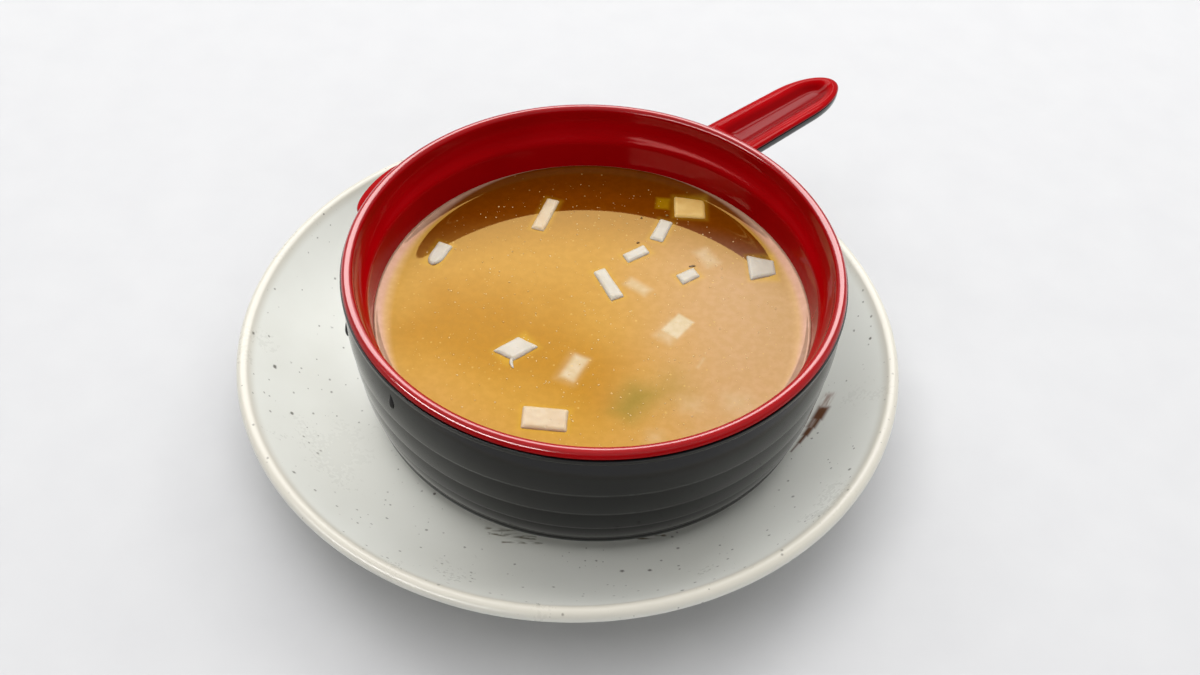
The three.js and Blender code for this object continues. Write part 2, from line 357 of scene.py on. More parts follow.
# %% Group: uneven gloss with fine scuffs
def make_gloss_group():
    tree, given, result = new_tree(
        "uneven gloss",
        "ShaderNodeTree",
        {
            "Vector": ("Vector", None),
            "Roughness": ("Float", 0.15),
            "Spread": ("Float", 0.05),
            "Ripple": ("Float", 0.1),
        },
        {"Roughness": ("Float", None), "Normal": ("Vector", None)},
    )
    broad = noise_value(tree, given["Vector"], 45.0, 3.0)
    fine = noise_value(tree, given["Vector"], 900.0)
    both = math_node(tree, "ADD", broad, math_node(tree, "MULTIPLY", fine, 0.4))
    shift = math_node(tree, "MULTIPLY", math_node(tree, "SUBTRACT", both, 0.7), given["Spread"])
    tree.links.new(math_node(tree, "ADD", given["Roughness"], shift), result["Roughness"])
    bump = add_node(
        tree, "ShaderNodeBump", {"Strength": given["Ripple"], "Distance": 0.0004, "Height": broad}
    )
    tree.links.new(bump.outputs[0], result["Normal"])
    return tree


# %% Group: a soft-edged rectangle seen from above
def make_patch_group():
    tree, given, result = new_tree(
        "soft patch",
        "ShaderNodeTree",
        {
            "Vector": ("Vector", None),
            "Centre": ("Vector", None),
            "Turn": ("Vector", None),
            "Half Size": ("Vector", None),
            "Softness": ("Float", 0.001),
            "Strength": ("Float", 1.0),
        },
        {"Mask": ("Float", None)},
    )
    local = add_node(
        tree,
        "ShaderNodeMapping",
        {"Vector": given["Vector"], "Location": given["Centre"], "Rotation": given["Turn"]},
        vector_type="TEXTURE",
    )
    beyond = vector_node(
        tree, "SUBTRACT", vector_node(tree, "ABSOLUTE", local.outputs[0]), given["Half Size"]
    )
    outside = vector_node(tree, "LENGTH", vector_node(tree, "MAXIMUM", beyond, (0, 0, 0)))
    x, y, _ = parts_of(tree, beyond)
    inside = math_node(tree, "MINIMUM", math_node(tree, "MAXIMUM", x, y), 0)
    distance = math_node(tree, "ADD", outside, inside)
    minus = math_node(tree, "MULTIPLY", given["Softness"], -1)
    mask = map_range(tree, distance, given["Softness"], minus)
    tree.links.new(math_node(tree, "MULTIPLY", mask, given["Strength"]), result["Mask"])
    return tree


speck_group, gloss_group, patch_group = make_speck_group(), make_gloss_group(), make_patch_group()
print("shader groups:", ", ".join(group.name for group in (speck_group, gloss_group, patch_group)))


# %% Starting a material
def object_place(tree):
    return add_node(tree, "ShaderNodeTexCoord").outputs["Object"]


def new_material(name, **settings):
    """A material with a Principled BSDF, its tree, and Object coordinates."""
    material = bpy.data.materials.new(name)
    material.use_nodes = True
    tree = material.node_tree
    shader = tree.nodes["Principled BSDF"]
    for label, value in settings.items():
        shader.inputs[label.replace("_", " ")].default_value = value
    return material, tree, shader, object_place(tree)


def centred(tree, place, centre, turn=0):
    """Object coordinates moved to a centre, and turned about +Z by some degrees."""
    mapping = add_node(
        tree,
        "ShaderNodeMapping",
        {"Vector": place, "Location": centre, "Rotation": (0, 0, math.radians(turn))},
        vector_type="TEXTURE",
    )
    return mapping.outputs[0]


def from_bowl(tree, place):
    """The place as seen from the middle of the bowl's rim, and the distance from the bowl's axis."""
    here = centred(tree, place, BOWL)
    return here, vector_node(tree, "LENGTH", vector_node(tree, "MULTIPLY", here, (1, 1, 0)))


def mix_colour(tree, factor, first, second, blend="MIX"):
    """Mixes two colours, each a colour or a socket, and returns the mixed colour's socket."""
    node = tree.nodes.new("ShaderNodeMix")
    node.data_type, node.blend_type = "RGBA", blend
    for key, value in ((0, factor), (6, first), (7, second)):
        if isinstance(value, bpy.types.NodeSocket):
            tree.links.new(value, node.inputs[key])
        elif key:
            node.inputs[key].default_value = (*value, 1)
        else:
            node.inputs[key].default_value = value
    return node.outputs[2]


def clouded(tree, place, scale, detail, first, second, low=0.3, high=0.7):
    """Two tones in soft clouds."""
    cloud = noise_value(tree, place, scale, detail)
    return mix_colour(tree, map_range(tree, cloud, low, high), first, second)


# %% Placing the groups in a material
def group_mask(tree, group, place, values):
    """The first output of a group that reads a place."""
    return add_node(tree, "ShaderNodeGroup", {"Vector": place, **values}, node_tree=group).outputs[0]


def add_specks(tree, place, tone, colour, strength, **values):
    """Lays specks of one colour over a tone."""
    mask = group_mask(tree, speck_group, place, values)
    return mix_colour(tree, math_node(tree, "MULTIPLY", mask, strength), tone, colour)


def add_gloss(tree, shader, place, **values):
    gloss = add_node(tree, "ShaderNodeGroup", {"Vector": place, **values}, node_tree=gloss_group)
    for label in ("Roughness", "Normal"):
        tree.links.new(gloss.outputs[label], shader.inputs[label])


def patch(x, y, turn, length, width, softness, strength=1.0):
    """One soft patch's inputs, from millimetres and degrees."""
    return {
        "Centre": (x * MM, y * MM, 0),
        "Turn": (0, 0, math.radians(turn)),
        "Half Size": (length / 2 * MM, width / 2 * MM, 1),
        "Softness": softness * MM,
        "Strength": strength,
    }


def add_patches(tree, place, tone, patches, colour):
    """Lays soft patches of one colour over a tone."""
    for values in patches:
        tone = mix_colour(tree, group_mask(tree, patch_group, place, values), tone, colour)
    return tone


# %% [markdown]
# ## Red and black melamine
#
# Two-tone bowls are pressed from melamine powder in two shots. The result is hard, glossy and even in
# colour, with shallow unevenness that breaks up reflections. One Principled BSDF each is right; the
# gloss group adds the unevenness. Lips and cloths polish the bowl's lip more than its wall, so the red
# melamine gets a clear coat there, masked by the distance from the lip's ring.

# %% Melamine materials
LIP_RADIUS, LIP_ROUND = 70, 1.6
COAT_OUTSIDE, COAT_DROP = (0.6, 0.1), (0.6, 0.25)


def make_melamine(name, colour, deep_colour, roughness, spread, ripple, **settings):
    material, tree, shader, place = new_material(name, **settings)
    tree.links.new(clouded(tree, place, 30.0, 2.0, deep_colour, colour), shader.inputs["Base Color"])
    add_gloss(tree, shader, place, Roughness=roughness, Spread=spread, Ripple=ripple)
    return material


def polish_lip(material):
    """Coats a melamine in a ring along the lip's rounded top."""
    tree = material.node_tree
    here, away = from_bowl(tree, object_place(tree))
    near = map_range(tree, away, *[(LIP_RADIUS + out) * MM for out in COAT_OUTSIDE])
    high = map_range(tree, parts_of(tree, here)[2], *[-share * LIP_ROUND * MM for share in COAT_DROP])
    weight = tree.nodes["Principled BSDF"].inputs["Coat Weight"]
    tree.links.new(math_node(tree, "MULTIPLY", near, high), weight)


red_melamine = make_melamine(
    "red_melamine", (0.36, 0.0003, 0.0025), (0.31, 0.0002, 0.0015), 0.12, 0.05, 0.04,
    IOR=1.22, Specular_Tint=(0.8, 0.3, 0.28, 1), Coat_Roughness=0.17, Coat_IOR=1.85,
)
polish_lip(red_melamine)
black_melamine = make_melamine(
    "black_melamine", (0.0026, 0.0026, 0.003), (0.002, 0.002, 0.0024), 0.15, 0.08, 0.06,
    IOR=1.38, Sheen_Weight=0.14, Sheen_Roughness=0.2,
)
print("melamine:", red_melamine.name, black_melamine.name)

# %% [markdown]
# ## Stoneware glaze
#
# The plate's glaze is a pale grey-green with fine iron specks. It is darker and creamier on the rim.
# Specks of two sizes come from the speck group; the rim's tone follows the height. A potter's brush has
# left one brown stroke and some dry olive ones. A stroke is a row of soft patches, each with its x, y,
# turn, length, width and softness, and a stretched noise breaks it up as bristles do.

# %% Brush strokes on the plate, in millimetres from its centre
brown_stroke = [
    patch(75.2, -14.2, 60, 5.0, 3.2, 0.8),
    patch(73.4, -17.0, 58, 5.0, 2.6, 0.7),
    patch(71.6, -19.8, 56, 5.0, 1.8, 0.6),
    patch(69.8, -22.4, 54, 5.0, 1.0, 0.5),
    patch(67.6, -25.2, 52, 5.4, 0.4, 0.4),
]
thin_stroke = [patch(72.7, -17.4, 58, 3.4, 1.1, 0.5), patch(77.2, -9.8, 66, 5.0, 2.4, 1.2)]
olive_strokes = [
    patch(-15.5, -58.4, -4, 9, 0.8, 0.6),
    patch(-12.5, -60.2, -2, 13, 1.0, 0.6),
    patch(-9.5, -62.2, 3, 11, 0.8, 0.5),
    patch(25.8, -58.2, 14, 8, 0.9, 0.5),
]


# %% Glaze material
RIM_BAND = 3


def add_strokes(tree, place, tone, strokes, turn, coverage, colour):
    """Joins the strokes' patches, breaks them up along the bristles' direction and lays them on."""
    whole, *others = [group_mask(tree, patch_group, place, stroke) for stroke in strokes]
    for mask in others:
        whole = math_node(tree, "MAXIMUM", whole, mask)
    stretched = vector_node(tree, "MULTIPLY", centred(tree, place, (0, 0, 0), turn), (0.35, 2.2, 1))
    bristles = map_range(tree, noise_value(tree, stretched, 700.0, 3.0), *coverage)
    return mix_colour(tree, math_node(tree, "MULTIPLY", whole, bristles), tone, colour)


def make_glaze():
    material, tree, shader, place = new_material("speckled_glaze", IOR=1.5)
    here = centred(tree, place, PLATE)
    tone = clouded(tree, here, 22.0, 4.0, (0.79, 0.79, 0.725), (0.85, 0.855, 0.795))
    rim = map_range(tree, parts_of(tree, here)[2], (PLATE_HEIGHT - RIM_BAND) * MM, PLATE_HEIGHT * MM)
    tone = mix_colour(tree, rim, tone, (0.62, 0.59, 0.51))
    tone = add_specks(tree, here, tone, (0.17, 0.15, 0.12), 0.7, Scale=640.0, Size=0.3, Share=0.22)
    tone = add_specks(tree, here, tone, (0.09, 0.075, 0.055), 0.85, Scale=280.0, Size=0.2, Share=0.2)
    tone = add_strokes(tree, here, tone, brown_stroke, 58, (0.0, 0.2), (0.15, 0.06, 0.028))
    tone = add_strokes(tree, here, tone, thin_stroke, 58, (0.3, 0.6), (0.46, 0.36, 0.31))
    tone = add_strokes(tree, here, tone, olive_strokes, 0, (0.44, 0.62), (0.12, 0.095, 0.03))
    tree.links.new(tone, shader.inputs["Base Color"])
    add_gloss(tree, shader, here, Roughness=0.3, Spread=0.15, Ripple=0.25)
    return material


speckled_glaze = make_glaze()

# %% [markdown]
# ## The plate
#
# A coupe plate is thrown as one open curve: a flat well, a flank that sweeps up, a rounded edge, and a
# foot ring below. All of it is one outline, so it is one turned piece.

# %% Plate outline and piece
plate = {"edge": 2.0, "well": 60, "well_top": 7, "flank": 77, "under": (81, 3.4)}
plate_foot = {"radius": 57, "width": 6, "height": 2.6}


def plate_outline():
    edge = Vector((PLATE_RADIUS - plate["edge"], PLATE_HEIGHT - plate["edge"]))
    corner = plate["edge"] * math.sqrt(0.5)
    out, top = plate_foot["radius"], plate_foot["height"]
    inner = out - plate_foot["width"]
    foot = rounded(
        [
            (0, top), (inner, top, 1), (inner + 1, 0, 0.6),
            (out - 1, 0, 0.6), (out + 1, top, 0.8), (out + 3, top + 0.1),
        ]
    )
    under = bezier([foot[-1], plate["under"], (edge.x + corner, edge.y - corner)], 40)
    rim = arc(edge, plate["edge"], -45, 135)
    flank = bezier([rim[-1], (plate["flank"], plate["well_top"]), (plate["well"], plate["well_top"])], 48)
    return foot + under[1:] + rim[1:] + flank[1:] + [(0, plate["well_top"])]


plate_piece = turned("coupe_plate", plate_outline(), PLATE, speckled_glaze, facets=224)

# %% [markdown]
# ## The red liner
#
# The liner is the wet side of the bowl. From the lip it falls almost upright, slopes gently, makes a
# shoulder, and then runs down to the floor. The shoulder is what catches the light.

# %% Liner outline
LIP_DROP = 2
LINER_WALL = 1.6
LINER_FLARE = 0.3
GAP = 0.3
inner_bends = [(66.6, -4.6, 1.2), (65.4, -8.2, 2.5), (63.6, -10.8, 1.2)]
BELLY = (62.7, -22)
FLOOR, FLOOR_WALL = -44, 2.3
inner_basin = {"reach": 0.7, "inward": 1.6, "upward": 4}
outer_basin = {"reach": 0.72, "inward": 0.4, "upward": 4.4}


def basin_curve(floor, belly, corner_radius, basin, steps):
    """The floor and the lower wall as one curve, from the axis to the belly."""
    corner = (corner_radius - basin["inward"], floor + basin["upward"])
    return bezier([(0, floor), (BELLY[0] * basin["reach"], floor), corner, belly], steps)


def wet_side(inset=0):
    """The liner's inside from the middle of the floor up to the lip."""
    floor = FLOOR + inset
    belly = (BELLY[0] - inset, BELLY[1])
    basin = basin_curve(floor, belly, belly[0], inner_basin, 30)
    lip_start = (LIP_RADIUS - 2 * LIP_ROUND - inset, -LIP_ROUND)
    bends = [(r - inset, z, reach) for r, z, reach in reversed(inner_bends)]
    return basin[:-1] + rounded([basin[-2], (*belly, 3), *bends, lip_start])[1:]


def liner_back(clear=0):
    """The liner's hidden side from the middle of the floor up to the lip's underside."""
    floor = FLOOR - FLOOR_WALL - clear
    out = LINER_WALL + clear
    belly = (BELLY[0] + out + LINER_FLARE, BELLY[1])
    basin = basin_curve(floor, belly, BELLY[0] + out, outer_basin, 16)
    bends = [Vector((r + out, z)) for r, z, _ in reversed(inner_bends)]
    return basin + bends + [Vector((bends[-1].x + LINER_FLARE, -LIP_DROP - clear))]


def liner_outline():
    lip = arc((LIP_RADIUS - LIP_ROUND, -LIP_ROUND), LIP_ROUND, 0, 180)
    return liner_back() + [Vector((LIP_RADIUS, -LIP_DROP))] + lip + wet_side()[::-1]


liner_piece = turned("red_liner", liner_outline(), BOWL, red_melamine)

# %% [markdown]
# ## The black shell
#
# Outside, the bowl has a bead under the lip and shallow bands with grooves between them, as if it had
# been turned from wood. Each band swells a little, so it is a curve between two groove edges.

# %% Shell outline
bead = {"radius": 70.4, "depth": 3.8}
outer_bands = [
    {"top": (69.4, -4.7), "bottom": (69.9, -17.1), "swell": 0.45},
    {"top": (69.4, -17.8), "bottom": (68.9, -26.4), "swell": 0.2},
    {"top": (68.5, -27), "bottom": (68.0, -33.8), "swell": 0.15},
    {"top": (67.5, -34.5), "bottom": (66.0, -41.0), "swell": 0.3},
    {"top": (65.9, -41.5), "bottom": (65.7, -43.2), "swell": 0.15},
]
bowl_foot = {"radius": 47.6, "width": 4.2, "height": 2.6, "recess": 1.5}
BOTTOM_BEND = (2, 0.8)


def band_corners(band):
    """A band's swollen curve from its bottom groove edge to its top one, with both edges rounded."""
    top, bottom = Vector(band["top"]), Vector(band["bottom"])
    middle = (top + bottom) / 2 + Vector((2 * band["swell"], 0))
    first, *between, last = [tuple(point) for point in bezier([bottom, middle, top], 12)]
    return [(*first, 0.6), *between, (*last, 0.5)]


def shell_outline():
    base = -BOWL_HEIGHT
    out, recess = bowl_foot["radius"], base + bowl_foot["recess"]
    inner = out - bowl_foot["width"]
    foot = rounded(
        [
            (0, recess), (inner - 0.8, recess, 0.5), (inner, base, 0.5),
            (out - 0.5, base, 0.4), (out, base + 0.5, 0.3), (out + 1, base + bowl_foot["height"]),
        ]
    )
    lowest = Vector(outer_bands[-1]["bottom"])
    bend = (lowest.x - BOTTOM_BEND[0], base + bowl_foot["height"] + BOTTOM_BEND[1])
    outline = foot + bezier([foot[-1], bend, lowest])[1:-2]
    corners = [corner for band in reversed(outer_bands) for corner in band_corners(band)]
    corners += [(bead["radius"], -bead["depth"], 0.4), (bead["radius"], -LIP_DROP - GAP, 0.3)]
    inside = liner_back(GAP)[::-1]
    return outline[:-1] + rounded([outline[-1], *corners, inside[0]]) + inside[1:]


shell_piece = turned("black_shell", shell_outline(), BOWL, black_melamine)

# %% [markdown]
# ## Handle and ear
#
# Two flat tongues leave the lip. The long one is the handle, with a dish in its red top; the short one
# is a plain ear. A tongue is lofted from rings: each ring is the tongue's outline drawn a little
# smaller, and its height comes from the tongue's section. Rings follow the rounded tip without the
# pinched faces that a straight grid would have there.

# %% Tongue sizes, in millimetres and degrees
GRIP_ROOT, BODY_ROOT = 68.2, 69
handle = {
    "azimuth": 55.9, "swing": -5.2, "droop": 8, "depth": 0.9, "length": 61.5,
    "root": 17.9, "tip": 17.2, "tip_length": 24.5, "dish": 2.4, "edge": 0.95, "brow": 2.1,
    "tip_inset": 1.3, "tip_shrink": 2.9,
}
ear = {
    "azimuth": 158, "swing": 0, "droop": 20, "depth": 1.3, "length": 5.6,
    "root": 25, "tip": 25, "tip_length": 5.6, "dish": 0, "edge": 0.8, "brow": 0.8,
    "tip_inset": 1, "tip_shrink": 1,
}
RED_SKIN, BLACK_BODY, UNDER_ROUND = 1.2, 3.4, 1.6
SKIN_CHAMFER, BODY_CHAMFER = 0.15, 0.25
RIDGE, CREST = 1.5, 2.15
DISH_START, DISH_SIDE, DISH_BOWED, DISH_SLANT = 3.4, 5.2, 0.22, 0.75
TRAY_DEPTH, TRAY_CHAMFER = 3.3, 0.3
MIDDLE_LEFT = 0.5
SIDE_POINTS, TIP_POINTS, ROOT_POINTS = 20, 64, 14
DISH_STEPS, BROW_STEPS = 28, 12


# %% Painted shade: a deeper red in the handle's dish
SHADE_SHARES, SHADE_FROM_LIP = (0.05, 0.6), (2, 5)


def paint_dish_shade(material, grip, colour):
    """Paints shade into a tongue's dish: a deeper colour by the depth under the tongue's top."""
    tree = material.node_tree
    base = tree.nodes["Principled BSDF"].inputs["Base Color"]
    here, away = from_bowl(tree, object_place(tree))
    along = math_node(tree, "SUBTRACT", away, GRIP_ROOT * MM)
    droop = math.tan(math.radians(grip["droop"]))
    over = math_node(tree, "MULTIPLY_ADD", along, droop, parts_of(tree, here)[2])
    depths = [grip["depth"] + share * grip["dish"] for share in SHADE_SHARES]
    low = map_range(tree, over, *[-depth * MM for depth in depths])
    beyond = map_range(tree, away, *[(LIP_RADIUS + out) * MM for out in SHADE_FROM_LIP])
    share = math_node(tree, "MULTIPLY", low, beyond)
    tree.links.new(mix_colour(tree, share, base.links[0].from_socket, colour), base)


# Painted shade: the handle's dish gets a deeper red, darker where the dish is deeper.
paint_dish_shade(red_melamine, handle, (0.19, 0.0001, 0.0012))


# %% Rings of a tongue
def ring_points(grip, inset, root_radius, start):
    """One closed ring of a tongue, in its own frame with the root at x = 0."""
    tip_half, root_half = grip["tip"] / 2 - inset, grip["root"] / 2 - inset
    tip_length = grip["tip_length"] - inset * grip["tip_shrink"]
    straight = grip["length"] - inset * grip["tip_inset"] - tip_length

    def root_x(y):
        return max(start, math.sqrt(root_radius**2 - y * y) - GRIP_ROOT + start)

    first = root_x(root_half)
    side = []
    for step in range(SIDE_POINTS if straight > first else 0):
        t = step / SIDE_POINTS
        side.append((first + (straight - first) * t, root_half + (tip_half - root_half) * t))
    tip = []
    for step in range(TIP_POINTS + 1):
        angle = math.pi / 2 - math.pi * step / TIP_POINTS
        tip.append((straight + tip_length * math.cos(angle), tip_half * math.sin(angle)))
    back = [(x, -y) for x, y in reversed(side)]
    root = []
    for step in range(1, ROOT_POINTS):
        y = -root_half + 2 * root_half * step / ROOT_POINTS
        root.append((root_x(y), y))
    return side + tip + back + root


def innermost(grip):
    """The inset of a tongue's last ring, just short of its middle line."""
    return min(grip["tip"] / 2, grip["tip_length"]) - MIDDLE_LEFT


def skin(shape, loops):
    """Joins loops of vertices into a closed surface, with the first and last loop capped."""
    for lower, upper in zip(loops, loops[1:]):
        for index in range(len(lower)):
            after = (index + 1) % len(lower)
            shape.faces.new((lower[index], lower[after], upper[after], upper[index]))
    shape.faces.new(loops[0][::-1])
    shape.faces.new(loops[-1])


def lofted_grip(name, grip, rings, finish):
    """Skins (ring, height) pairs and sets the tongue at the lip."""
    shape = bmesh.new()
    skin(shape, [[shape.verts.new((x * MM, y * MM, z * MM)) for x, y in ring] for ring, z in rings])
    piece = piece_from(name, shape, finish)
    azimuth = math.radians(grip["azimuth"])
    root = Vector((math.cos(azimuth), math.sin(azimuth), 0)) * GRIP_ROOT * MM
    where = Matrix.Translation(BOWL + root - Vector((0, 0, grip["depth"] * MM)))
    turn = Matrix.Rotation(math.radians(grip["azimuth"] + grip["swing"]), 4, "Z")
    droop = Matrix.Rotation(math.radians(grip["droop"]), 4, "Y")
    piece.data.transform(where @ turn @ droop)
    return face_outwards(piece)


# %% The red tops and black bodies of the tongues
def dish_height(grip, inset):
    """How deep the top lies at a distance from the tongue's edge: a soft wall, then a bowed bottom."""
    side = min(max((inset - CREST) / DISH_SIDE, 0), 1)
    share = min(max((inset - CREST) / (grip["tip"] / 2 - CREST), 0), 1)
    wall = side * side * (3 - 2 * side)
    return -grip["dish"] * ((1 - DISH_BOWED) * wall + DISH_BOWED * (1 - (1 - share) ** 2))


def grip_top(name, grip):
    """Red skin, with the dish and its tray where the grip has one."""
    def ring(inset, start=0):
        return ring_points(grip, inset, GRIP_ROOT, start)

    deepest = innermost(grip)
    if grip["dish"]:
        rings = [
            (ring(deepest, DISH_START + deepest), -TRAY_DEPTH),
            (ring(RIDGE + TRAY_CHAMFER, DISH_START), -TRAY_DEPTH),
            (ring(RIDGE, DISH_START), TRAY_CHAMFER - TRAY_DEPTH),
            (ring(RIDGE, DISH_START), -RED_SKIN),
        ]
    else:
        rings = [(ring(deepest), -RED_SKIN)]
    rings += [(ring(SKIN_CHAMFER), -RED_SKIN), (ring(0), SKIN_CHAMFER - RED_SKIN)]
    for step in range(BROW_STEPS + 1):
        angle = math.pi / 2 * step / BROW_STEPS
        inset = grip["brow"] * (1 - math.cos(angle))
        rings.append((ring(inset), -grip["edge"] * (1 - math.sin(angle))))
    if grip["dish"]:
        for step in range(DISH_STEPS + 1):
            inset = CREST + (deepest - CREST) * step / DISH_STEPS
            start = DISH_START - 1 + (inset - CREST) * DISH_SLANT
            rings.append((ring(inset, start), dish_height(grip, inset)))
    else:
        rings.append((ring(deepest), 0))
    return lofted_grip(name, grip, rings, red_melamine)


def grip_body(name, grip):
    """Black body under the red skin, rounded below, with room for the tray."""
    def ring(inset, start=GAP):
        return ring_points(grip, inset, BODY_ROOT, start)

    deepest = innermost(grip)
    bottom, top = -RED_SKIN - BLACK_BODY, -RED_SKIN - GAP
    rings = [(ring(deepest), bottom), (ring(UNDER_ROUND + 1), bottom)]
    for step in range(CORNER_STEPS + 1):
        angle = math.pi / 2 * step / CORNER_STEPS
        inset = UNDER_ROUND * (1 - math.sin(angle))
        rings.append((ring(inset), bottom + UNDER_ROUND * (1 - math.cos(angle))))
    rings += [(ring(0), top - BODY_CHAMFER), (ring(0.07), top - 0.07), (ring(BODY_CHAMFER), top)]
    if grip["dish"]:
        pocket = -TRAY_DEPTH - GAP
        rings += [(ring(RIDGE - GAP, DISH_START - GAP), height) for height in (top, pocket)]
        rings.append((ring(deepest, DISH_START + deepest), pocket))
    else:
        rings.append((ring(deepest), top))
    return lofted_grip(name, grip, rings, black_melamine)


# %% [markdown]
# The tongues are part of the same mouldings as the liner and the shell, so a Boolean modifier joins
# them. Its MANIFOLD solver is quick and keeps a closed mesh.

# %% Joining the tongues to the bowl
CREASE_ANGLE = 35


def unite(piece, *extras):
    for extra in extras:
        join = piece.modifiers.new("join", "BOOLEAN")
        join.operation, join.solver, join.object = "UNION", "MANIFOLD", extra
    freeze(piece)
    for extra in extras:
        bpy.data.objects.remove(extra)
    face_outwards(piece)
    piece.data.shade_smooth()
    piece.data.set_sharp_from_angle(angle=math.radians(CREASE_ANGLE))
    print(piece.name, "with its tongues, faces:", len(piece.data.polygons))


unite(liner_piece, grip_top("handle_top", handle), grip_top("ear_top", ear))
unite(shell_piece, grip_body("handle_body", handle), grip_body("ear_body", ear))

# %% [markdown]
# ## Tofu
#
# Silken tofu is cut by hand into blocks that never come out quite alike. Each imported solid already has
# its block's own size and lean. We copy it, remesh it finely, soften its edges and push its surface in
# and out by a few hundredths of a millimetre with smooth noise. Softening draws the edges in, so the
# block also grows a little, into the gap that its solid has in the soup. Blocks that the broth washes
# over or has soaked look yellower, so they get the same material in other tones.

# %% Tofu material
WET_BAND = (1.2, -0.3)


def make_tofu_material(name, darker, paler, wet_tone):
    material, tree, shader, place = new_material(
        name, IOR=1.38, Roughness=0.38, Subsurface_Weight=0.45, Subsurface_Radius=(1.0, 0.8, 0.5),
        Subsurface_Scale=0.0018,
    )
    tone = clouded(tree, place, 260.0, 4.0, darker, paler)
    height = parts_of(tree, centred(tree, place, BOWL))[2]
    dry = map_range(tree, height, *[-(SOUP_DEPTH + below) * MM for below in WET_BAND])
    tree.links.new(mix_colour(tree, dry, wet_tone, tone), shader.inputs["Base Color"])
    pores = group_mask(tree, speck_group, place, {"Scale": 900.0, "Size": 0.35, "Share": 0.3})
    bump = add_node(
        tree, "ShaderNodeBump", {"Strength": 0.3, "Distance": 0.0002, "Height": pores}, invert=True
    )
    tree.links.new(bump.outputs[0], shader.inputs["Normal"])
    return material


tofu_material = make_tofu_material("tofu", (0.47, 0.43, 0.35), (0.52, 0.48, 0.40), (0.46, 0.31, 0.10))
washed_tofu = make_tofu_material("washed_tofu", (0.52, 0.40, 0.25), (0.56, 0.46, 0.31), (0.42, 0.25, 0.04))
soaked_tofu = make_tofu_material("soaked_tofu", (0.58, 0.37, 0.11), (0.64, 0.44, 0.15), (0.42, 0.23, 0.01))
yellower = {"tofu_01": washed_tofu, "tofu_03": soaked_tofu, "tofu_10": washed_tofu}


# %% Where a block lies, read from its solid
def lie_of_block(node):
    """The block's centre, turn, length and width as seen from above, in millimetres and degrees."""
    flat = [Vector((v.co.x - BOWL.x, v.co.y - BOWL.y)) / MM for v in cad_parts[node].data.vertices]
    turn = box_fit_2d(flat)
    spun = [Matrix.Rotation(turn, 2) @ point for point in flat]
    low = Vector((min(p.x for p in spun), min(p.y for p in spun)))
    high = Vector((max(p.x for p in spun), max(p.y for p in spun)))
    centre = Matrix.Rotation(-turn, 2) @ ((low + high) / 2)
    length, width = high - low
    return {"x": centre.x, "y": centre.y, "turn": -math.degrees(turn), "length": length, "width": width}


tofu_nodes = sorted(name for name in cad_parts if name.startswith("tofu_"))
block_lies = {node: lie_of_block(node) for node in tofu_nodes}
for node, lie in block_lies.items():
    print(node, ", ".join(f"{key} {value:.1f}" for key, value in lie.items()))


# %% Tofu blocks
tofu_cut = {"face": 0.28, "relaxing": 2, "wave": 2.2, "wave_depth": 0.09, "growth": 0.2}


def soften(piece, seed):
    """Remeshes a block and gives it the softness and small unevenness of a hand cut."""
    remesh = piece.modifiers.new("even faces", "REMESH")
    remesh.mode, remesh.voxel_size = "VOXEL", tofu_cut["face"] * MM
    relax = piece.modifiers.new("soft edges", "SMOOTH")
    relax.factor, relax.iterations = 0.5, tofu_cut["relaxing"]
    freeze(piece)
    offset = Vector((seed * 7.3, seed * 3.1, seed * 5.7))
    normals = [vertex.normal.copy() for vertex in piece.data.vertices]
    for vertex, normal in zip(piece.data.vertices, normals):
        wave = noise.noise(vertex.co / (tofu_cut["wave"] * MM) + offset) * tofu_cut["wave_depth"]
        vertex.co += normal * (wave + tofu_cut["growth"]) * MM
    piece.data.shade_smooth()
    return piece


def copy_of_node(node, name):
    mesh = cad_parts[node].data.copy()
    mesh.name = name
    mesh.materials.clear()
    return face_outwards(link_object(name, mesh))


tofu_pieces = []
for seed, node in enumerate(tofu_nodes, start=1):
    block = soften(copy_of_node(node, node.replace("tofu", "tofu_block")), seed)
    block.data.materials.append(yellower.get(node, tofu_material))
    tofu_pieces.append(block)
print("tofu blocks:", len(tofu_pieces), "faces each about", len(tofu_pieces[0].data.polygons))


# %% One end rounded, as a spoon leaves it
def round_near_end(piece, lie, start):
    """Draws a block's end nearest the diner in to a half ellipse, from a share of its half length on."""
    turn = math.radians(lie["turn"]) + (math.pi / 2 if lie["width"] > lie["length"] else 0)
    along = Vector((math.cos(turn), math.sin(turn), 0))
    if along.y > 0:
        along = -along
    across = Vector((-along.y, along.x, 0))
    centre = BOWL + Vector((lie["x"], lie["y"], 0)) * MM
    half = max(lie["length"], lie["width"]) / 2 * MM
    for vertex in piece.data.vertices:
        share = ((vertex.co - centre).dot(along) / half - start) / (1 - start)
        if share > 0:
            side = (vertex.co - centre).dot(across)
            vertex.co -= across * side * (1 - math.sqrt(1 - min(share, 0.98) ** 2))


round_near_end(tofu_pieces[1], block_lies["tofu_02"], 0.1)
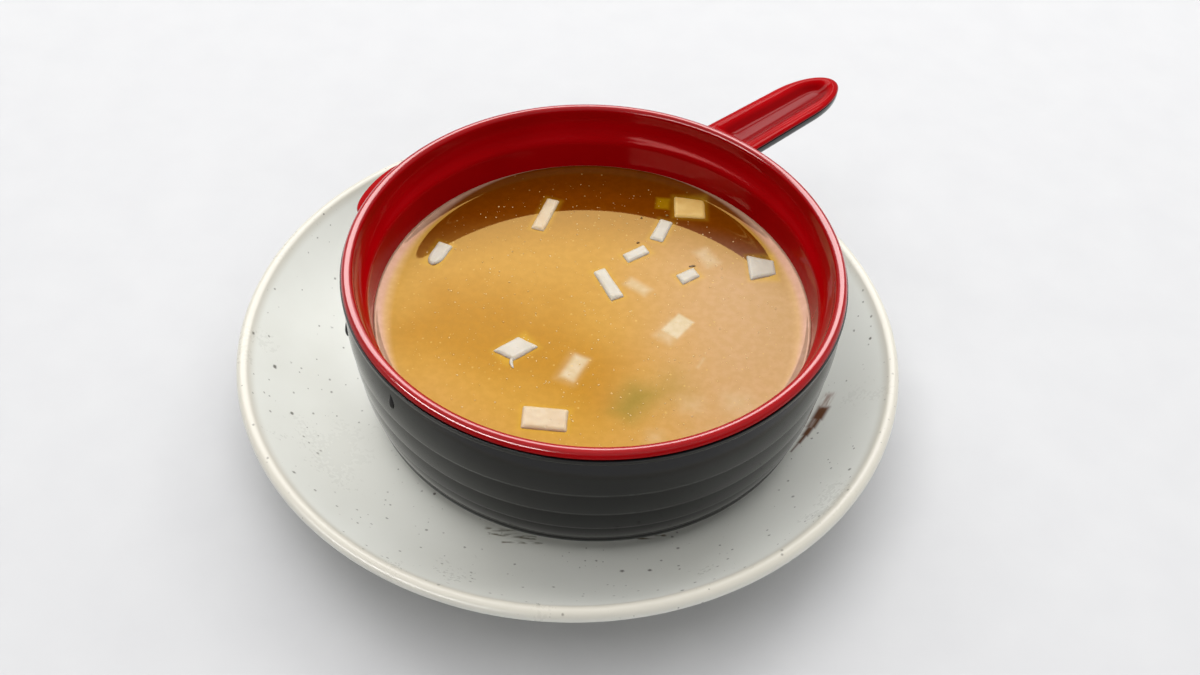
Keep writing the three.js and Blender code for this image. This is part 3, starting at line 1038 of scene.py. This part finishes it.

# %% [markdown]
# ## Broth
#
# Miso broth is cloudy: fine soy solids hang in it, thicker in some places than in others. Its colour
# also carries painted light: it is painted darker at the back, as the shade of the back wall, and paler
# to the right, as a painted reflection of the softbox. It wets the wall and climbs it by about two
# millimetres; there it is a thin film and the red wall tints it, and at the left and the right the
# film's band is widened by a painted reflection of the softbox in the raised edge. Tofu and seaweed
# below the surface show only as soft glows and shadows. A true cloudy volume would be slow and can't be
# exported, so the surface is opaque and carries those glows as soft patches. Each has its x, y, turn,
# length, width, softness and strength, and lies where its piece hangs. The floating blocks' own glows
# are read from their solids.

# %% What hangs below the surface, in millimetres from the bowl's axis
sunk_tofu = [
    patch(24.6, -5.0, 54, 8.4, 5.4, 0.6, 0.95),
    patch(22.6, -7.4, 54, 8.4, 5.4, 2.0, 0.45),
    patch(-4.2, -23.1, 66, 9.2, 4.2, 1.1, 0.8),
    patch(-4.8, -23.6, 68, 10.4, 5.4, 2.2, 0.3),
    patch(12.8, 10.2, -36, 7.4, 3.4, 1.5, 0.6),
    patch(33.5, 24.4, -58, 7.6, 4.4, 1.7, 0.45),
    patch(31.0, -18.8, 62, 4.2, 0.5, 0.7, 0.35),
    patch(18.4, -46.3, 0, 2.0, 2.0, 4.0, 0.4),
    patch(28.3, -34.4, 0, 4.0, 3.0, 4.5, 0.35),
    patch(40.6, -32.5, 0, 5.0, 4.0, 5.0, 0.4),
]
deep_tofu = [patch(20.0, 48.2, -4, 4.2, 5.0, 0.9, 0.8)]
sunk_wakame = [patch(12.0, -34.7, 60, 11, 6, 5.0, 0.9), patch(18.5, -30.5, 30, 16, 6, 8.0, 0.5)]
front_haze = [patch(-33.0, -41.0, -38, 26, 3, 14.0, 0.7), patch(4.0, -52.0, 0, 30, 2, 9.0, 0.6)]
golden_pool = patch(-20, -16, -22, 60, 16, 24)
HALO = 0.8
block_haloes = [
    patch(lie["x"], lie["y"], lie["turn"], lie["length"] + HALO, lie["width"] + HALO, 1.6, 0.6)
    for lie in block_lies.values()
]

# %% How the broth meets the wall
WALL_RISE, WALL_REACH = 1.9, 2.4
SURFACE_STEP = 0.8


def wall_radius(depth):
    """The liner's radius at a depth, by looking along its wet side."""
    side = wet_side()
    for low, high in zip(side, side[1:]):
        if low[1] <= -depth <= high[1]:
            return low[0] + (high[0] - low[0]) * (-depth - low[1]) / (high[1] - low[1])
    raise ValueError(f"no wall at a depth of {depth} mm")


shore = wall_radius(SOUP_DEPTH - WALL_RISE) - 0.05
print(f"the broth reaches the wall at a radius of {shore:.1f} mm")


# %% Broth material
golden, milky = (0.192, 0.060, 0.0003), (0.258, 0.117, 0.020)
# The pale tone is a painted reflection of the softbox; the deep tone is painted shade of the back wall.
painted_reflection, painted_back_shade = (0.26, 0.15, 0.105), (0.12, 0.028, 0.0002)
REFLECTION_EAST, BACK_SHADE_NORTH, DRIFT_EAST = (-4, 46), (20, 46), 20
BACK_BEND = 4.6
# At the sides the film's band is widened by a painted reflection of the softbox.
FILM_AND_REFLECTION_WIDEST, FILM_NARROWEST = 7.0, 0.05
RED_SHEEN = (3.6, 1.4)


def body_tone(tree, here, east, north):
    """Golden where the solids are thin, milky elsewhere; painted paler to the right as a reflection, and
    painted darker at the back as the back wall's shade.
    """
    cloud = math_node(tree, "SUBTRACT", noise_value(tree, here, 34.0, 3.0), 0.5)
    drift = math_node(tree, "MULTIPLY", cloud, 0.8)
    pool = group_mask(tree, patch_group, here, golden_pool)
    clear = map_range(tree, math_node(tree, "ADD", pool, drift), 0.05, 0.62)
    tone = mix_colour(tree, clear, milky, golden)
    eastward = math_node(tree, "ADD", east, math_node(tree, "MULTIPLY", drift, DRIFT_EAST * MM))
    # Painted reflection: paler to the right, where the broth mirrors the softbox more strongly.
    tone = mix_colour(tree, map_range(tree, eastward, *[edge * MM for edge in REFLECTION_EAST]), tone, painted_reflection)
    # Painted shade: darker at the back, in the shadow of the back wall.
    bend = math_node(tree, "MULTIPLY_ADD", math_node(tree, "MULTIPLY", east, east), BACK_BEND, north)
    return mix_colour(tree, map_range(tree, bend, *[edge * MM for edge in BACK_SHADE_NORTH]), tone, painted_back_shade)


def add_wall_film_and_reflection(tree, tone, east, inland):
    """Tints the broth by the red wall in a thin film; at the left and the right its band is widened by a
    painted reflection of the softbox in the raised edge.
    """
    share = math_node(tree, "DIVIDE", math_node(tree, "ABSOLUTE", east), shore * MM)
    # Painted reflection: the band widens towards the left and the right.
    sideways = math_node(tree, "POWER", share, 4)
    width = math_node(tree, "MULTIPLY_ADD", sideways, FILM_AND_REFLECTION_WIDEST * MM, FILM_NARROWEST * MM)
    film_and_reflection = map_range(tree, math_node(tree, "DIVIDE", inland, width), 1.2, 0.1)
    return mix_colour(tree, film_and_reflection, tone, (0.40, 0.25, 0.165))


def make_broth():
    material, tree, shader, place = new_material("miso_broth", IOR=1.7, Roughness=0.03)
    here, away = from_bowl(tree, place)
    east, north, _ = parts_of(tree, here)
    inland = math_node(tree, "SUBTRACT", shore * MM, away)
    tone = body_tone(tree, here, east, north)
    tone = add_patches(tree, here, tone, front_haze, (0.28, 0.14, 0.055))
    tone = add_patches(tree, here, tone, sunk_wakame, (0.056, 0.050, 0.012))
    tone = add_patches(tree, here, tone, block_haloes, (0.32, 0.18, 0.010))
    tone = add_patches(tree, here, tone, deep_tofu, (0.28, 0.15, 0.002))
    tone = add_patches(tree, here, tone, sunk_tofu, (0.345, 0.315, 0.255))
    tone = add_wall_film_and_reflection(tree, tone, east, inland)
    sandy = map_range(tree, noise_value(tree, here, 420.0, 3.0), 0.35, 0.7, 0, 0.25)
    tone = mix_colour(tree, sandy, tone, (1.5, 1.6, 2), "MULTIPLY")
    tone = add_specks(tree, here, tone, (0.50, 0.34, 0.13), 0.4, Scale=800.0, Size=0.3, Share=0.14)
    tree.links.new(tone, shader.inputs["Base Color"])
    reddened = map_range(tree, inland, *[edge * MM for edge in RED_SHEEN])
    sheen = mix_colour(tree, reddened, (0.9, 0.53, 0), (0.8, 0.38, 0.24))
    tree.links.new(sheen, shader.inputs["Specular Tint"])
    return material


miso_broth = make_broth()


# %% Broth with its raised edge
def soup_outline():
    below = [point for point in wet_side(GAP) if point[1] < -SOUP_DEPTH - 0.5]
    surface = []
    count = round(shore / SURFACE_STEP)
    for step in range(count + 1):
        radius = shore * (1 - step / count)
        surface.append((radius, -SOUP_DEPTH + WALL_RISE * math.exp((radius - shore) / WALL_REACH)))
    return below + [(shore, -SOUP_DEPTH + WALL_RISE - 0.4)] + surface


soup_piece = turned("broth", soup_outline(), BOWL, miso_broth)

# %% [markdown]
# ## Miso grains
#
# Hundreds of pale soy grains float at the surface. That is a job for scattering: points are spread over
# the free surface, each gets a tiny icosphere with its own size and turn, and the instances are made
# real. The field that they are spread over is the top of the soup's solid, because it already has holes
# where the tofu floats.

# %% Grain field and material
GRAIN_FACES = 20


def make_grain_field():
    """The flat top faces of the soup's solid, without the tofu's holes."""
    field = copy_of_node("soup", "miso_grains")
    shape = bmesh.new()
    shape.from_mesh(field.data)
    rest = [face for face in shape.faces if face.calc_center_median().z < soup_high.z - 0.01 * MM]
    bmesh.ops.delete(shape, geom=rest, context="FACES")
    shape.to_mesh(field.data)
    shape.free()
    return field


def make_flat_material(name, colour, other, roughness):
    """A small thing's finish: two tones mixed by fine noise."""
    material, tree, shader, place = new_material(name, Roughness=roughness, IOR=1.38)
    tone = clouded(tree, place, 900.0, 2.0, colour, other, 0.35, 0.65)
    tree.links.new(tone, shader.inputs["Base Color"])
    return material


grain_material = make_flat_material("miso_grain", (0.58, 0.40, 0.17), (0.66, 0.50, 0.27), 0.3)


# %% The scattering tree
def make_grain_tree():
    tree, given, result = new_tree(
        "scatter grains",
        "GeometryNodeTree",
        {
            "Field": ("Geometry", None),
            "Grains per Square Metre": ("Float", 80000.0),
            "Smallest": ("Float", 0.00012),
            "Largest": ("Float", 0.00036),
            "Seed": ("Int", 1),
            "Finish": ("Material", None),
        },
        {"Grains": ("Geometry", None)},
    )
    points = add_node(
        tree,
        "GeometryNodeDistributePointsOnFaces",
        {"Mesh": given["Field"], "Density": given["Grains per Square Metre"], "Seed": given["Seed"]},
    )
    grain = add_node(tree, "GeometryNodeMeshIcoSphere", {"Radius": 1.0, "Subdivisions": 1})

    def random_value(kind, socket, low, high, seed):
        node = add_node(tree, "FunctionNodeRandomValue", {"Seed": seed}, data_type=kind)
        socket_of(node.inputs, "Min", socket).default_value = low
        socket_of(node.inputs, "Max", socket).default_value = high
        return socket_of(node.outputs, "Value", socket)

    luck = math_node(tree, "POWER", random_value("FLOAT", "VALUE", 0, 1, 3), 3)
    spread = math_node(tree, "SUBTRACT", given["Largest"], given["Smallest"])
    size = math_node(tree, "ADD", given["Smallest"], math_node(tree, "MULTIPLY", luck, spread))
    shape = add_node(tree, "ShaderNodeVectorMath", {0: (1, 0.75, 0.5), "Scale": size}, operation="SCALE")
    turn = random_value("FLOAT_VECTOR", "VECTOR", (0, 0, 0), (0.6, 0.6, 6.28), 5)
    placed = add_node(
        tree,
        "GeometryNodeInstanceOnPoints",
        {"Points": points.outputs["Points"], "Instance": grain.outputs["Mesh"], "Scale": shape.outputs[0]},
    )
    tree.links.new(turn, placed.inputs["Rotation"])
    end_geometry(tree, placed.outputs[0], given["Finish"], result["Grains"])
    return tree


grain_piece = make_grain_field()
add_tree(grain_piece, make_grain_tree(), Seed=11, Finish=grain_material)
freeze(grain_piece)
print("miso grains:", len(grain_piece.data.polygons) // GRAIN_FACES)

# %% [markdown]
# ## Seaweed scraps and a shred of tofu
#
# A few scraps of wakame cling to the tofu's edges, and one block has a shred hanging from it. A scrap
# is a small crumpled sheet, and the shred is a thin spindle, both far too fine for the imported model.

# %% Scraps, each with its x, y, turn, length and width
SURFACE = BOWL - Vector((0, 0, SOUP_DEPTH * MM))
wakame_scraps = [
    (29.0, 20.2, 12, 2.1, 0.8),
    (51.2, 25.9, -12, 3.2, 0.9),
    (12.5, 29.3, 20, 1.0, 0.7),
    (13.4, 40.8, 60, 0.9, 0.6),
    (21.4, 42.6, 0, 1.0, 0.8),
]
SCRAP_ROWS, SCRAP_COLUMNS = 8, 4
SCRAP_LIFT, SCRAP_THICK = 0.12, 0.12
CRUMPLE, CRUMPLE_WAVES = (0.2, 0.22), (2.1, 1.7, 3.3)


def add_scrap(shape, x, y, turn, length, width, seed):
    """One crumpled leaf-shaped sheet, added to a bmesh."""
    spin = Matrix.Rotation(math.radians(turn), 4, "Z")
    place = Matrix.Translation(SURFACE + Vector((x, y, SCRAP_LIFT)) * MM) @ spin
    rows = []
    for row in range(SCRAP_ROWS + 1):
        along = row / SCRAP_ROWS * 2 - 1
        half = width / 2 * math.sqrt(max(1 - along * along, 0.02))
        line = []
        for column in range(SCRAP_COLUMNS + 1):
            across = column / SCRAP_COLUMNS * 2 - 1
            spot = zip((along, across, seed), CRUMPLE_WAVES)
            bend = noise.noise(Vector([value * wave for value, wave in spot]))
            aside, upward = (bend * share for share in CRUMPLE)
            point = Vector((along * length / 2, half * across + aside, upward))
            line.append(shape.verts.new(place @ (point * MM)))
        rows.append(line)
    for lower, upper in zip(rows, rows[1:]):
        for column in range(SCRAP_COLUMNS):
            shape.faces.new((lower[column], upper[column], upper[column + 1], lower[column + 1]))


def make_scraps():
    shape = bmesh.new()
    for seed, scrap in enumerate(wakame_scraps, start=1):
        add_scrap(shape, *scrap, seed)
    piece = piece_from("wakame_scraps", shape, wakame_material)
    thick = piece.modifiers.new("leaf thickness", "SOLIDIFY")
    thick.thickness, thick.offset = SCRAP_THICK * MM, 0
    smooth = piece.modifiers.new("soft folds", "SUBSURF")
    smooth.levels = smooth.render_levels = 1
    freeze(piece)
    piece.data.shade_smooth()
    return face_outwards(piece)


wakame_material = make_flat_material("wakame", (0.10, 0.045, 0.008), (0.16, 0.09, 0.01), 0.25)
scrap_piece = make_scraps()
print("wakame scraps:", len(wakame_scraps))


# %% A shred of tofu
shred = {"start": (-21.6, -20.4, 0.1), "end": (-21.0, -24.6, 0.05), "thick": 1.1}
SHRED_STEPS = SHRED_SIDES = 10


def make_shred(start, end, thick):
    """A closed spindle from a thick start to a thin end, slightly bent."""
    shape = bmesh.new()
    start, end = Vector(start), Vector(end)
    side = (end - start).cross(Vector((0, 0, 1))).normalized()
    loops = []
    for step in range(SHRED_STEPS + 1):
        t = step / SHRED_STEPS
        centre = start.lerp(end, t) + side * thick * 0.5 * math.sin(3 * t)
        radius = thick / 2 * math.sqrt(max(1 - t**3, 0.03)) * (1 if step else 0.5)
        loop = []
        for index in range(SHRED_SIDES):
            angle = 2 * math.pi * index / SHRED_SIDES
            out = side * math.cos(angle) + Vector((0, 0, 0.6)) * math.sin(angle)
            loop.append(shape.verts.new(SURFACE + (centre + out * radius) * MM))
        loops.append(loop)
    skin(shape, loops)
    return face_outwards(piece_from("tofu_shred", shape, tofu_material))


shred_piece = make_shred(**shred)
print("shred faces:", len(shred_piece.data.polygons))

# %% [markdown]
# ## Drips on the shell
#
# Two drops of broth ran over the lip and dried just under it. A drop on a wall is a flat bead, thin at
# the top and full at the bottom. We shape one from a sphere and lay it on the wall.

# %% Drips
drips = [
    {"azimuth": 196.5, "top": 11.4, "height": 5.2, "width": 2.2, "lean": 6},
    {"azimuth": 223.8, "top": 7.2, "height": 5.0, "width": 2.1, "lean": 8},
]
DRIP_THICK, DRIP_NECK, DRIP_SWELL, DRIP_SUNK = 0.9, 0.32, 0.68, 0.1


def shell_radius(depth):
    """The outer wall's radius at a depth, from the bands."""
    for band in outer_bands:
        if -band["bottom"][1] >= depth:
            low, high = -band["bottom"][1], -band["top"][1]
            share = min(max((depth - high) / (low - high), 0), 1)
            straight = band["top"][0] + (band["bottom"][0] - band["top"][0]) * share
            return straight + band["swell"] * 4 * share * (1 - share)
    raise ValueError(f"no band at a depth of {depth} mm")


def add_drip(shape, azimuth, top, height, width, lean):
    """One flat bead on the wall, added to a bmesh."""
    ball = bmesh.ops.create_uvsphere(shape, u_segments=20, v_segments=14, radius=1)["verts"]
    for vertex in ball:
        down = (1 - vertex.co.z) / 2
        full = DRIP_NECK + DRIP_SWELL * math.sin(math.pi / 2 * down**1.3)
        across = vertex.co.x * width / 2 * full + math.tan(math.radians(lean)) * down * height
        depth = top + height * down
        out = shell_radius(depth) - DRIP_SUNK + vertex.co.y * DRIP_THICK * full
        angle = math.radians(azimuth) + across / shell_radius(depth)
        vertex.co = BOWL + Vector((out * math.cos(angle), out * math.sin(angle), -depth)) * MM


def make_drips():
    shape = bmesh.new()
    for drip in drips:
        add_drip(shape, **drip)
    return face_outwards(piece_from("dried_drips", shape, drip_material))


drip_material = make_flat_material("dried_drip", (0.006, 0.006, 0.006), (0.010, 0.009, 0.007), 0.1)
drip_piece = make_drips()
print("drips:", len(drips))

# %% [markdown]
# ## Floor, light and camera
#
# The floor is a plain pale sheet. One long softbox stands behind the serving: it lights the soup from
# the back, makes the broth's surface milky and runs a highlight round the lip. It is wide, so that the
# raised edge of the broth still mirrors it at the sides. A bright sky would fill the shadows, but the
# red wall would mirror it and turn pink. So the world is dim, three fill panels light only what is
# matt, and two cards seen only in gloss draw the streaks in the handle's dish and on the shoulder.

# %% Floor
FLOOR_HALF = 4


def make_floor():
    material, tree, shader, place = new_material("table", Roughness=0.8)
    tone = mix_colour(tree, noise_value(tree, place, 60.0, 5.0), (0.52, 0.52, 0.53), (0.56, 0.56, 0.565))
    tree.links.new(tone, shader.inputs["Base Color"])
    shape = bmesh.new()
    bmesh.ops.create_grid(shape, x_segments=1, y_segments=1, size=FLOOR_HALF)
    return piece_from("table", shape, material)


make_floor()


# %% Lights
def area_light(name, azimuth, elevation, distance, size, radiance, lights="both"):
    """A soft panel aimed at the bowl, for all surfaces or only for "diffuse" or "gloss"."""
    a, e = math.radians(azimuth), math.radians(elevation)
    away = Vector((math.cos(a) * math.cos(e), math.sin(a) * math.cos(e), math.sin(e)))
    data = bpy.data.lights.new(name, "AREA")
    data.shape, data.size, data.size_y = "RECTANGLE", size[0], size[1]
    data.energy = radiance * math.pi * size[0] * size[1]
    light = bpy.data.objects.new(name, data)
    light.visible_glossy, light.visible_diffuse = lights != "diffuse", lights != "gloss"
    light.location = BOWL + away * distance
    light.rotation_mode = "QUATERNION"
    light.rotation_quaternion = away.to_track_quat("Z", "Y")
    bpy.context.scene.collection.objects.link(light)


area_light("back_softbox", 99, 48, 1.6, (2.7, 0.8), 4.6)
area_light("overhead_fill", 180, 82, 2.4, (2.4, 2.4), 2.45, lights="diffuse")
area_light("side_fill", 40, 32, 2.0, (1.4, 1.0), 2.2, lights="diffuse")
area_light("front_fill", -60, 33, 2.0, (1.2, 0.6), 3.3, lights="diffuse")
area_light("handle_card", 76, 21, 1.7, (0.35, 0.14), 3.0, lights="gloss")
area_light("shoulder_card", 223, 28, 1.6, (1.8, 0.22), 20.0, lights="gloss")
print("lights placed")

# %% World
HORIZON, ZENITH = (0.24, 0.24, 0.24), (0.16, 0.16, 0.16)


def make_world():
    world = bpy.data.worlds.new("studio")
    world.use_nodes = True
    tree = world.node_tree
    direction = add_node(tree, "ShaderNodeTexCoord").outputs["Generated"]
    height = parts_of(tree, direction)[2]
    sky = mix_colour(tree, map_range(tree, height, 0.1, 0.7), HORIZON, ZENITH)
    tree.links.new(sky, tree.nodes["Background"].inputs["Color"])
    return world


bpy.context.scene.world = make_world()

# %% Camera
CAMERA_FROM_RIM = Vector((2.417, -256.4, 240.6))
CAMERA_DOWN, CAMERA_ROLL = 46.914, 3.078
IMAGE_WIDTH, FOCAL_PIXELS, SENSOR = 1200, 1263.6, 36


def make_camera():
    data = bpy.data.cameras.new("view")
    data.sensor_width = SENSOR
    data.lens = FOCAL_PIXELS / IMAGE_WIDTH * SENSOR
    camera = bpy.data.objects.new("view", data)
    down, roll = math.radians(CAMERA_DOWN), math.radians(CAMERA_ROLL)
    ahead = Vector((0, math.cos(down), -math.sin(down)))
    right = Vector((1, 0, 0))
    up = right.cross(ahead)
    rolled_right = right * math.cos(roll) + up * math.sin(roll)
    rolled_up = up * math.cos(roll) - right * math.sin(roll)
    axes = Matrix((rolled_right, rolled_up, -ahead)).transposed().to_4x4()
    camera.matrix_world = Matrix.Translation(BOWL + CAMERA_FROM_RIM * MM) @ axes
    bpy.context.scene.collection.objects.link(camera)
    return camera


bpy.context.scene.camera = make_camera()
bpy.context.scene.view_settings.view_transform = "Standard"

# %% [markdown]
# ## Hand over
#
# Every piece rides on the one body. A piece that stands for a imported solid says so, and that solid is
# hidden.

# %% Hand over
pieces = {
    plate_piece: ("speckled_glaze", ["plate"]),
    liner_piece: ("red_melamine", ["bowl_liner"]),
    shell_piece: ("black_melamine", ["bowl_shell"]),
    drip_piece: ("black_melamine", []),
    soup_piece: ("miso_broth", ["soup"]),
    grain_piece: ("miso_broth", []),
    scrap_piece: ("wakame", []),
    shred_piece: ("tofu", []),
}
for piece, node in zip(tofu_pieces, tofu_nodes):
    pieces[piece] = ("tofu", [node])
for piece, (slot, nodes) in pieces.items():
    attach(piece, "root")
    if nodes:
        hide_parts(*nodes)
